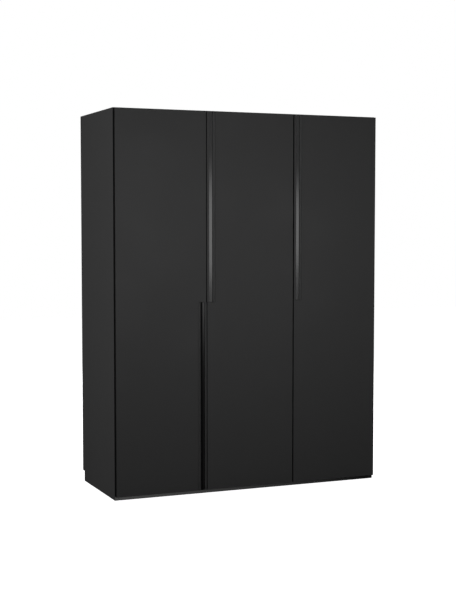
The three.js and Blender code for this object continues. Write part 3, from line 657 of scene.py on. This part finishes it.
# %% Plastic finish
def plastic_finish():
    material, tree, shader = start_material("sparked_black_plastic", 0.55)
    place = own_place(tree)
    pearl = place_group(tree, PEARL, Grain_per_metre=1500.0, Clouding=0.2)
    worn = place_group(tree, RUB, Patches_per_metre=60.0, Amount=0.4)["Mask"]
    dusty = place_group(tree, DUST, Amount=0.3)["Mask"]
    pits = tree.nodes.new("ShaderNodeTexVoronoi")
    pits.inputs["Scale"].default_value = 1600.0
    tree.links.new(place, pits.inputs["Vector"])
    body = tinted(tree, (0.02, 0.02, 0.0205), pearl["Tone"])
    rubbed = mixed(tree, worn, body, RUBBED_BLACK)
    tree.links.new(mixed(tree, dusty, rubbed, DUST_GREY), shader.inputs["Base Color"])
    rough = add_math(tree, "SUBTRACT", 0.58, pearl["Roughness"])
    tree.links.new(rough, shader.inputs["Roughness"])
    bumped(tree, shader, pits.outputs["Distance"], 0.00003)
    return material


black_plastic = plastic_finish()
print("plastic finish:", black_plastic.name)

# %% [markdown]
# ## Making pieces
#
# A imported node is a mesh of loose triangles. It is exact, but its edges are knife sharp, and sharp edges are
# what makes a model look drawn: a real edge always catches a thread of light. So each board becomes a copy
# whose triangles are merged and whose flat faces are joined, and its long outer edges are rounded with a bevel.
# The copy then replaces the node and rides on the same body.

# %% Piece helpers
MERGE_DISTANCE = 0.01 * MM
FINE_DISTANCE = 0.001 * MM
FLAT_ANGLE = math.radians(0.5)
EDGE_SHARPNESS, FITTING_SHARPNESS = 50.0, 60.0


def merged_copy(node):
    """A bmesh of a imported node, with its points merged and its flat faces joined."""
    bm = bmesh.new()
    bm.from_mesh(nodes[node].data)
    bmesh.ops.remove_doubles(bm, verts=bm.verts, dist=MERGE_DISTANCE)
    bmesh.ops.dissolve_limit(
        bm, angle_limit=FLAT_ANGLE, use_dissolve_boundaries=False,
        verts=bm.verts, edges=bm.edges,
    )
    bmesh.ops.recalc_face_normals(bm, faces=bm.faces)
    return bm


def round_edges(bm, radius, segments, shortest, sharpness=EDGE_SHARPNESS):
    """Bevels the outward edges that are long and sharp enough, and marks the new faces as rims."""
    limit = math.radians(sharpness)
    chosen = [
        edge for edge in bm.edges
        if edge.is_manifold and edge.calc_length() >= shortest and edge.calc_face_angle_signed(0.0) > limit
    ]
    rim = bm.faces.layers.float.get("rim") or bm.faces.layers.float.new("rim")
    if not chosen:
        return 0
    made = bmesh.ops.bevel(
        bm, geom=chosen, offset=radius, offset_type="OFFSET", segments=segments,
        profile=0.5, affect="EDGES", material=-1, clamp_overlap=True,
    )
    for face in made["faces"]:
        face[rim] = 1.0
        face.smooth = True
    return len(chosen)


def cut_through(bm, place, normal, distance=0.0):
    """Adds an edge wherever a plane crosses the mesh."""
    everything = [*bm.verts, *bm.edges, *bm.faces]
    bmesh.ops.bisect_plane(bm, geom=everything, dist=distance, plane_co=place, plane_no=normal)


def finish_piece(bm, name, body, materials, replaced=()):
    """Turns a bmesh into an object that rides on a body and, where asked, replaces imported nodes."""
    mesh = bpy.data.meshes.new(name)
    bm.to_mesh(mesh)
    bm.free()
    for material in materials:
        mesh.materials.append(material)
    piece = bpy.data.objects.new(name, mesh)
    scene.collection.objects.link(piece)
    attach(piece, body)
    if replaced:
        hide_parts(*replaced)
    return piece


print("piece helpers are ready")

# %% [markdown]
# ## Boards
#
# A board has two broad faces and four narrow ones. The thinnest side of its box says which is which: a face that
# looks along that axis gets the matt facing, and every other face, the rounded edges included, gets the band.
# The bevel's radius is that of a real edge band after it is trimmed, under a millimetre. Below the doors, the
# front edges of the two sides are wiped together with the plinth, so they are cut there and share its finish.
# At the end the card on the floor is tied to the plinth and the two sides, so that it lights nothing else.

# %% Board pieces
BAND_RADIUS = 0.8 * MM
DOOR_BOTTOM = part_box("left_door_panel")[0].z
LONG_EDGE = 14 * MM
FACING, BAND, WIPED_BAND = 0, 1, 2
SQUARE_ON = 0.99


def thin_axis(node):
    """The axis across a board's thickness."""
    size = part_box(node)[1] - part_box(node)[0]
    return min(range(3), key=lambda axis: size[axis])


def board_piece(node, facing):
    """Makes one board with rounded edges. Returns its name and how many edges were rounded."""
    axis = thin_axis(node)
    bm = merged_copy(node)
    rounded = round_edges(bm, BAND_RADIUS, 3, LONG_EDGE)
    if node.endswith("_side_panel"):
        cut_through(bm, (0, 0, DOOR_BOTTOM), (0, 0, 1))
    bm.normal_update()
    rim = bm.faces.layers.float["rim"]
    for face in bm.faces:
        broad = abs(face.normal[axis]) > SQUARE_ON and face[rim] < 0.5
        face.material_index = FACING if broad else BAND
        middle = face.calc_center_median()
        at_front = face.normal.y < -0.5 and middle.y < plinth_front + BAND_RADIUS
        if at_front and not broad and middle.z < DOOR_BOTTOM:
            face.material_index = WIPED_BAND
    materials = [facing, edge_band_and_gap_shade, plinth_facing]
    finish_piece(bm, f"{node}_board", body_of_node[node], materials, [node])
    return f"{node}_board", rounded


carcass_boards = [
    "left_side_panel", "right_side_panel", "partition_panel", "top_panel", "bottom_panel",
    "hat_shelf", "upper_fixed_shelf", "lower_fixed_shelf", "lower_adjustable_shelf", "upper_adjustable_shelf",
]
for node in carcass_boards:
    print(*board_piece(node, matt_facing), "edges rounded")
for node in ("front_plinth", "rear_plinth"):
    print(*board_piece(node, plinth_facing), "edges rounded")
mirroring_boards = bpy.data.collections.new("boards_that_mirror_the_card")
for node in ("front_plinth", "left_side_panel", "right_side_panel"):
    mirroring_boards.objects.link(bpy.data.objects[f"{node}_board"])
card.light_linking.receiver_collection = mirroring_boards

# %% [markdown]
# ## Doors
#
# The doors are boards too, with bores for the hinge cups and a rebate for the grip. They are what one sees
# first, so they get the same care.

# %% Door pieces
DOOR_BODIES = ("left_door", "middle_door", "right_door")
for body in DOOR_BODIES:
    print(*board_piece(f"{body}_panel", matt_facing), "edges rounded")

# %% [markdown]
# ## Grip profiles
#
# Each grip is one drawn profile: a lip at the door's edge, a channel for the fingers and a rounded shoulder
# towards the board. The copy keeps the imported section's corners but moves them a little, door by door, until each
# groove catches the light as it should: a channel that is wider and shallower, and on two doors a lip that stands
# back from the gap. The left door's grip is let in the other way round, and its lip is a little narrower. The
# curved shoulders are shaded smooth between the edges that are really sharp, and ends and lips get a fine bevel.
# Each point learns how polished it is from its place in the section: only the floor of the channel is. The wall
# on the door's edge gets the black of the band above or below it, partly as painted shade of the gap beside it.
# On the left door's lower grip a strip of the channel floor next to the shoulder is black too: painted shade.

# %% Grip pieces
GRIP_BEVEL = 0.35 * MM
SHORTEST_GRIP_EDGE = 5 * MM
SMOOTH_ANGLE = math.radians(32)
LIP, CHANNEL_END, PROFILE_WIDTH = 11.5 * MM, 30 * MM, 47 * MM
PROFILE_WALL = 1.6 * MM
PACKED_DEPTH = 8.9 * MM
FLOOR_PLAY = 0.3 * MM
SECTION_PLAY = 0.05 * MM
EASED_END = 32 * MM
EASED_DEPTHS = {"left_door": 3.2 * MM, "middle_door": 6.5 * MM, "right_door": 6.5 * MM}
EASED_LIPS = {"left_door": 10.6 * MM, "middle_door": 12.5 * MM, "right_door": 12.5 * MM}
SHADE_STRIP_STARTS = {"left_door": 22 * MM, "middle_door": CHANNEL_END, "right_door": CHANNEL_END}
SET_BACKS = {"left_door": 0.0, "middle_door": 0.6 * MM, "right_door": 2.5 * MM}


def smooth_by_angle(bm):
    """Shades everything smooth but keeps real corners sharp, and keeps a flat face flat up to its rim."""
    rim = bm.faces.layers.float["rim"]
    for face in bm.faces:
        face.smooth = True
    for edge in bm.edges:
        rims = {face[rim] for face in edge.link_faces}
        edge.smooth = len(rims) == 1 and edge.calc_face_angle(math.pi) < SMOOTH_ANGLE


def eased(along, lip, back):
    """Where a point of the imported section, this far from the door's edge, lies in the eased section."""
    stations = [(0, back), (PROFILE_WALL, PROFILE_WALL + back), (LIP, lip + back), (CHANNEL_END, EASED_END + back)]
    stations.append((PROFILE_WIDTH, PROFILE_WIDTH))
    for (start, new_start), (end, new_end) in zip(stations, stations[1:]):
        if along <= end:
            return new_start + (along - start) * (new_end - new_start) / (end - start)
    return along


def grip_piece(body):
    node = f"{body}_grip"
    low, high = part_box(node)
    at_right = high.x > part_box(f"{body}_panel")[1].x
    outer, inwards = (high.x, -1) if at_right else (low.x, 1)
    bm = merged_copy(node)
    cut_through(bm, (outer + inwards * SHADE_STRIP_STARTS[body], 0, 0), (1, 0, 0), FINE_DISTANCE)
    round_edges(bm, GRIP_BEVEL, 2, SHORTEST_GRIP_EDGE, FITTING_SHARPNESS)
    smooth_by_angle(bm)
    for face in bm.faces:
        middle = face.calc_center_median()
        along = (middle.x - outer) * inwards
        on_floor = abs(middle.y - low.y - PACKED_DEPTH) < FLOOR_PLAY
        # Painted shade: past this point the floor of the left door's groove gets the black band, where the groove
        # lies in shade.
        painted_shade_strip = on_floor and along > SHADE_STRIP_STARTS[body]
        # The wall on the door's edge gets the black band too, partly painted shade of the gap beside it.
        face.material_index = 1 if along < GRIP_BEVEL or painted_shade_strip else 0
    polish = bm.verts.layers.float.new("polish")
    for vert in bm.verts:
        along = (vert.co.x - outer) * inwards
        depth = vert.co.y - low.y
        vert[polish] = 1.0 if abs(depth - PACKED_DEPTH) < FLOOR_PLAY else 0.0
        vert.co.x = outer + inwards * eased(along, EASED_LIPS[body], SET_BACKS[body])
        under_the_lip = along < LIP and depth < PACKED_DEPTH / 2
        if depth < PACKED_DEPTH + SECTION_PLAY and not under_the_lip:
            vert.co.y = low.y + depth * EASED_DEPTHS[body] / PACKED_DEPTH
    return finish_piece(bm, f"{node}_profile", body, [anodised, edge_band_and_gap_shade], [node])


for body in DOOR_BODIES:
    piece = grip_piece(body)
    print(piece.name, len(piece.data.polygons), "faces")

# %% [markdown]
# ## Back sheets and their strips
#
# The back is three thin sheets, joined by two plastic strips with an H section. The sheets sit in grooves, so
# only their faces show, and a hair of a bevel is enough.

# %% Back pieces
SHEET_BEVEL = 0.3 * MM
STRIP_BEVEL = 0.3 * MM
BACK_SHEETS = ("left_back_sheet", "middle_back_sheet", "right_back_sheet")
BACK_STRIPS = ("wide_bay_back_strip", "partition_back_strip")
for node in BACK_SHEETS:
    bm = merged_copy(node)
    round_edges(bm, SHEET_BEVEL, 1, LONG_EDGE)
    finish_piece(bm, f"{node}_board", "carcass", [fibreboard], [node])
for node in BACK_STRIPS:
    bm = merged_copy(node)
    round_edges(bm, STRIP_BEVEL, 2, LONG_EDGE)
    finish_piece(bm, f"{node}_profile", "carcass", [black_plastic], [node])
print(len(BACK_SHEETS), "back sheets and", len(BACK_STRIPS), "strips")

# %% [markdown]
# ## Turned and pressed fittings
#
# The hinges, the shelf pins, the rail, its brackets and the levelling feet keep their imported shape, which is
# already rounded where it should be. As merged copies they can be shaded smooth, and their outer corners get a
# fine bevel, as every pressing and moulding has.

# %% Fitting pieces
def fitting_piece(node, material, radius, shortest):
    bm = merged_copy(node)
    round_edges(bm, radius, 2, shortest, FITTING_SHARPNESS)
    smooth_by_angle(bm)
    return finish_piece(bm, f"{node}_fitting", body_of_node[node], [material], [node])


FITTINGS = [
    ("_hinge_arm_", "hinge_steel", nickel, 0.25 * MM, 3 * MM),
    ("_hinge_cup_", "hinge_steel", nickel, 0.2 * MM, 1 * MM),
    ("_shelf_pin_", "hinge_steel", nickel, 0.3 * MM, 1 * MM),
    ("wardrobe_rail", "rail_chrome", chrome, 0.2 * MM, 1 * MM),
    ("_rail_bracket", "rail_chrome", chrome, 0.35 * MM, 1 * MM),
    ("_levelling_foot", "black_plastic", black_plastic, 0.6 * MM, 2 * MM),
]
for mark, slot, material, radius, shortest in FITTINGS:
    chosen = sorted(node for node in nodes if mark in node)
    faces = [len(fitting_piece(node, material, radius, shortest).data.polygons) for node in chosen]
    print(len(chosen), "nodes like", mark.strip("_"), "-", max(faces), "faces at most")

# %% [markdown]
# ## Screws
#
# Every hinge is held by two screws in its cup's flange and two in its mounting plate, and carries two more that
# adjust it. The rail brackets have two each. A head starts as a grid of five by five faces: the outer ring of
# points is pulled onto a circle, the five faces of the cross are sunk, the middle is raised to a shallow dome,
# and the boundary is drawn down into a rim. It is made once and copied to every place.

# %% Screw heads
# Shares of the head's radius. The grid lines at 0.2 and 0.6 become the half width and the reach of the cross.
ARM_SHARES = {0.2: 0.13, 0.6: 0.58}
OUTER_RING, CROSS_LINE, CROSS_LIMIT = 0.9, 0.05, 0.5
DOME_DROP = 0.35
CROSS_TAPER = 0.75
CROSS_DEPTH = 0.7


def screw_head_mesh(radius, height):
    """A domed head with a cross recess, standing on z = 0 and looking up."""
    bm = bmesh.new()
    bmesh.ops.create_grid(bm, x_segments=5, y_segments=5, size=radius)
    for vert in bm.verts:
        if max(abs(vert.co.x), abs(vert.co.y)) > radius * OUTER_RING:
            vert.co = vert.co.normalized() * radius
        else:
            for axis in (0, 1):
                share = round(abs(vert.co[axis]) / radius, 1)
                vert.co[axis] = math.copysign(ARM_SHARES[share] * radius, vert.co[axis])
        vert.co.z = height * (1.0 - DOME_DROP * (vert.co.xy.length / radius) ** 2)
    border = [edge for edge in bm.edges if edge.is_boundary]
    cross = []
    for face in bm.faces:
        middle = face.calc_center_median()
        on_cross = min(abs(middle.x), abs(middle.y)) < radius * CROSS_LINE
        if on_cross and middle.xy.length < radius * CROSS_LIMIT:
            cross.append(face)
    sunk = bmesh.ops.extrude_face_region(bm, geom=cross)["geom"]
    floor_points = [item for item in sunk if isinstance(item, bmesh.types.BMVert)]
    bmesh.ops.delete(bm, geom=cross, context="FACES")
    bmesh.ops.scale(bm, vec=(CROSS_TAPER, CROSS_TAPER, 1.0), verts=floor_points)
    bmesh.ops.translate(bm, vec=(0, 0, -height * CROSS_DEPTH), verts=floor_points)
    rim = bmesh.ops.extrude_edge_only(bm, edges=border)["geom"]
    for item in rim:
        if isinstance(item, bmesh.types.BMVert):
            item.co.z = 0.0
    foot = [edge for edge in bm.edges if edge.is_boundary]
    bmesh.ops.holes_fill(bm, edges=foot, sides=0)
    bmesh.ops.recalc_face_normals(bm, faces=bm.faces)
    mesh = bpy.data.meshes.new("screw_head")
    bm.to_mesh(mesh)
    bm.free()
    return mesh


def facing(place, outward):
    """The matrix that stands a shape on place and turns its z axis along outward."""
    turn = Vector((0, 0, 1)).rotation_difference(Vector(outward)).to_matrix().to_4x4()
    return Matrix.Translation(place) @ turn


def place_copies(name, body, material, mesh, places):
    """One piece that holds a copy of mesh at every (place, outward) pair."""
    bm = bmesh.new()
    for place, outward in places:
        before = len(bm.verts)
        bm.from_mesh(mesh)
        bm.verts.ensure_lookup_table()
        bmesh.ops.transform(bm, matrix=facing(place, outward), verts=bm.verts[before:])
    return finish_piece(bm, name, body, [material])


def cup_seat(body, number):
    """The middle of a hinge cup's back face, flush with the back of the door."""
    low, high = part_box(f"{body}_hinge_cup_{number}")
    return Vector(((low.x + high.x) / 2, high.y, (low.z + high.z) / 2))


def foot_and_middle(node, inward):
    """The x of the board that a fitting is screwed to, and the middle of the fitting's box."""
    low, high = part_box(node)
    return (low.x if inward > 0 else high.x), (low + high) / 2


HINGE_NUMBERS = range(1, 5)
CUP_WING_OFFSET, CUP_WING_RISE = 6 * MM, 24 * MM
PLATE_SCREW_LINE, PLATE_SCREW_RISE, PLATE_THICKNESS = 37 * MM, 16 * MM, 2.5 * MM
ARM_SURFACE = 10.7 * MM
ADJUSTER_LINES = (33 * MM, 50 * MM)
BRACKET_SCREW_RISE, BRACKET_THICKNESS = 20.5 * MM, 2 * MM
SINK = 0.05 * MM
screw_head = screw_head_mesh(3.5 * MM, 0.9 * MM)
adjuster_head = screw_head_mesh(2.9 * MM, 0.7 * MM)
inward_of = {"left_door": 1, "middle_door": -1, "right_door": -1}

plate_screws, adjusters = [], []
for body in DOOR_BODIES:
    inward = inward_of[body]
    cup_screws = []
    for number in HINGE_NUMBERS:
        seat = cup_seat(body, number)
        for rise in (-CUP_WING_RISE, CUP_WING_RISE):
            cup_screws.append((seat + Vector((inward * CUP_WING_OFFSET, -SINK, rise)), (0, 1, 0)))
        foot, middle = foot_and_middle(f"{body}_hinge_arm_{number}", inward)
        for rise in (-PLATE_SCREW_RISE, PLATE_SCREW_RISE):
            x = foot + inward * (PLATE_THICKNESS - SINK)
            place = Vector((x, plinth_front + PLATE_SCREW_LINE, middle.z + rise))
            plate_screws.append((place, (inward, 0, 0)))
        for line in ADJUSTER_LINES:
            x = foot + inward * (ARM_SURFACE - SINK)
            adjusters.append((Vector((x, plinth_front + line, middle.z)), (inward, 0, 0)))
    place_copies(f"{body}_cup_screws", body, nickel, screw_head, cup_screws)
place_copies("hinge_plate_screws", "carcass", nickel, screw_head, plate_screws)
place_copies("hinge_adjusters", "carcass", nickel, adjuster_head, adjusters)

bracket_screws = []
for node, inward in (("left_rail_bracket", 1), ("right_rail_bracket", -1)):
    foot, middle = foot_and_middle(node, inward)
    for rise in (-BRACKET_SCREW_RISE, BRACKET_SCREW_RISE):
        x = foot + inward * (BRACKET_THICKNESS - SINK)
        bracket_screws.append((Vector((x, middle.y, middle.z + rise)), (inward, 0, 0)))
place_copies("bracket_screws", "carcass", nickel, screw_head, bracket_screws)
print(len(plate_screws), "plate screws,", len(adjusters), "adjusters,", len(bracket_screws), "bracket screws")

# %% [markdown]
# ## Cup rims, buffers and covers
#
# The pressed cup of each hinge has a round rolled rim. Two small soft domes on the back of each door, near its
# free edge, meet the front edges of the top and the bottom and keep the closed door off the carcass. The boards
# are joined by cam fittings, whose round housings show inside as caps. All are turned shapes: a few points of a
# section, spun once round an axis.

# %% Cup rims, buffers and covers
def turned_mesh(name, section, steps, ring=False):
    """Spins a section of (radius, height) points, from axis to axis or as a closed ring, into a closed shape."""
    bm = bmesh.new()
    points = [bm.verts.new((radius, 0, height)) for radius, height in section]
    followers = points[1:] + points[:1] if ring else points[1:]
    edges = [bm.edges.new(pair) for pair in zip(points, followers)]
    bmesh.ops.spin(
        bm, geom=[*points, *edges], cent=(0, 0, 0), axis=(0, 0, 1), dvec=(0, 0, 0),
        angle=2 * math.pi, steps=steps, use_merge=True, use_duplicate=False,
    )
    bmesh.ops.remove_doubles(bm, verts=bm.verts, dist=FINE_DISTANCE)
    bmesh.ops.recalc_face_normals(bm, faces=bm.faces)
    for face in bm.faces:
        face.smooth = True
    mesh = bpy.data.meshes.new(name)
    bm.to_mesh(mesh)
    bm.free()
    return mesh


RIM_STEPS, BUFFER_STEPS, COVER_STEPS = 32, 24, 32
rim_section = [(16.6 * MM, -0.4 * MM), (17.1 * MM, 0.15 * MM), (18.6 * MM, 0.15 * MM), (19.1 * MM, -0.4 * MM)]
rim_mesh = turned_mesh("cup_rim", rim_section, RIM_STEPS, ring=True)
for body in DOOR_BODIES:
    rims = [(cup_seat(body, number), (0, 1, 0)) for number in HINGE_NUMBERS]
    place_copies(f"{body}_cup_rims", body, nickel, rim_mesh, rims)

BUFFER_RISE = 1.7 * MM
buffer_section = [
    (0, -SINK), (4 * MM, -SINK), (4 * MM, 0.5 * MM), (3.6 * MM, 1.1 * MM), (2.4 * MM, 1.55 * MM), (0, BUFFER_RISE),
]
buffer_mesh = turned_mesh("door_buffer", buffer_section, BUFFER_STEPS)
door_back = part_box("left_door_panel")[1].y
bottom_low, bottom_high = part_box("bottom_panel")
BUFFER_INSET = 22 * MM
TOP_BUFFER_RISE = 8 * MM
buffer_levels = ((bottom_low.z + bottom_high.z) / 2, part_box("top_panel")[0].z + TOP_BUFFER_RISE)
for body in DOOR_BODIES:
    low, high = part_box(f"{body}_panel")
    x = high.x - BUFFER_INSET if inward_of[body] > 0 else low.x + BUFFER_INSET
    places = [(Vector((x, door_back, level)), (0, 1, 0)) for level in buffer_levels]
    place_copies(f"{body}_buffers", body, black_plastic, buffer_mesh, places)

cover_section = [
    (0, -SINK), (8.2 * MM, -SINK), (8.2 * MM, 0.35 * MM), (7.9 * MM, 0.65 * MM), (7.2 * MM, 0.8 * MM),
    (6.2 * MM, 0.8 * MM), (5.9 * MM, 0.55 * MM), (0, 0.45 * MM),
]
cover_mesh = turned_mesh("cam_cover", cover_section, COVER_STEPS)
COVER_INSET = 34 * MM
COVER_FRONT, COVER_REAR = 42 * MM, 38 * MM
covers = []
for shelf in ("top_panel", "hat_shelf", "upper_fixed_shelf", "lower_fixed_shelf"):
    low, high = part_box(shelf)
    rear = min(high.y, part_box("hat_shelf")[1].y)
    for x in (low.x + COVER_INSET, high.x - COVER_INSET):
        for y in (low.y + COVER_FRONT, rear - COVER_REAR):
            covers.append((Vector((x, y, low.z)), (0, 0, -1)))
partition_low, partition_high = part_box("partition_panel")
for z in (partition_low.z + COVER_INSET, partition_high.z - COVER_INSET):
    for y in (partition_low.y + COVER_FRONT, partition_high.y - COVER_REAR):
        covers.append((Vector((partition_high.x, y, z)), (1, 0, 0)))
place_copies("cam_covers", "carcass", black_plastic, cover_mesh, covers)
print(len(covers), "cam covers, buffers stand", round(BUFFER_RISE / MM, 1), "mm off the doors")

# %% [markdown]
# ## Light for the insides
#
# The insides are black boards in a deep box, and the lights for the closed front hardly reach them. A soft box in
# front of the opening is tied to what stands inside, so it shows the shelves and the hinges when a door is open,
# and adds nothing to the doors. The chromed rail is left out of it, as it is bright enough by itself.

# %% Inside soft box
NOT_INSIDE = ("plinth", "top_panel", "foot", "rail")
inside_box = soft_box("inside_soft_box", (0.45, -4.2, 1.5), (0.2, 0.0, 1.0), (2.4, 1.8), 60)
insides = bpy.data.collections.new("what_stands_inside")
for node, body in body_of_node.items():
    if body == "carcass" and not any(word in node for word in NOT_INSIDE):
        for ending in ("_board", "_profile", "_fitting"):
            piece = bpy.data.objects.get(node + ending)
            if piece:
                insides.objects.link(piece)
for name in ("hinge_plate_screws", "hinge_adjusters", "cam_covers"):
    insides.objects.link(bpy.data.objects[name])
inside_box.light_linking.receiver_collection = insides

# %% [markdown]
# ## Rear light off the top board
#
# Seen from the front at a flat angle, even a matt board mirrors what stands behind it, and the top board would
# turn white from the rear soft box. The back needs that box, so the top board alone is left out of its light: a
# member of a light's collection can be marked as excluded, and everything else stays lit.

# %% Rear light off the top board
not_lit_from_behind = bpy.data.collections.new("not_lit_from_behind")
not_lit_from_behind.objects.link(bpy.data.objects["top_panel_board"])
not_lit_from_behind.collection_objects[0].light_linking.link_state = "EXCLUDE"
rear_box.light_linking.receiver_collection = not_lit_from_behind
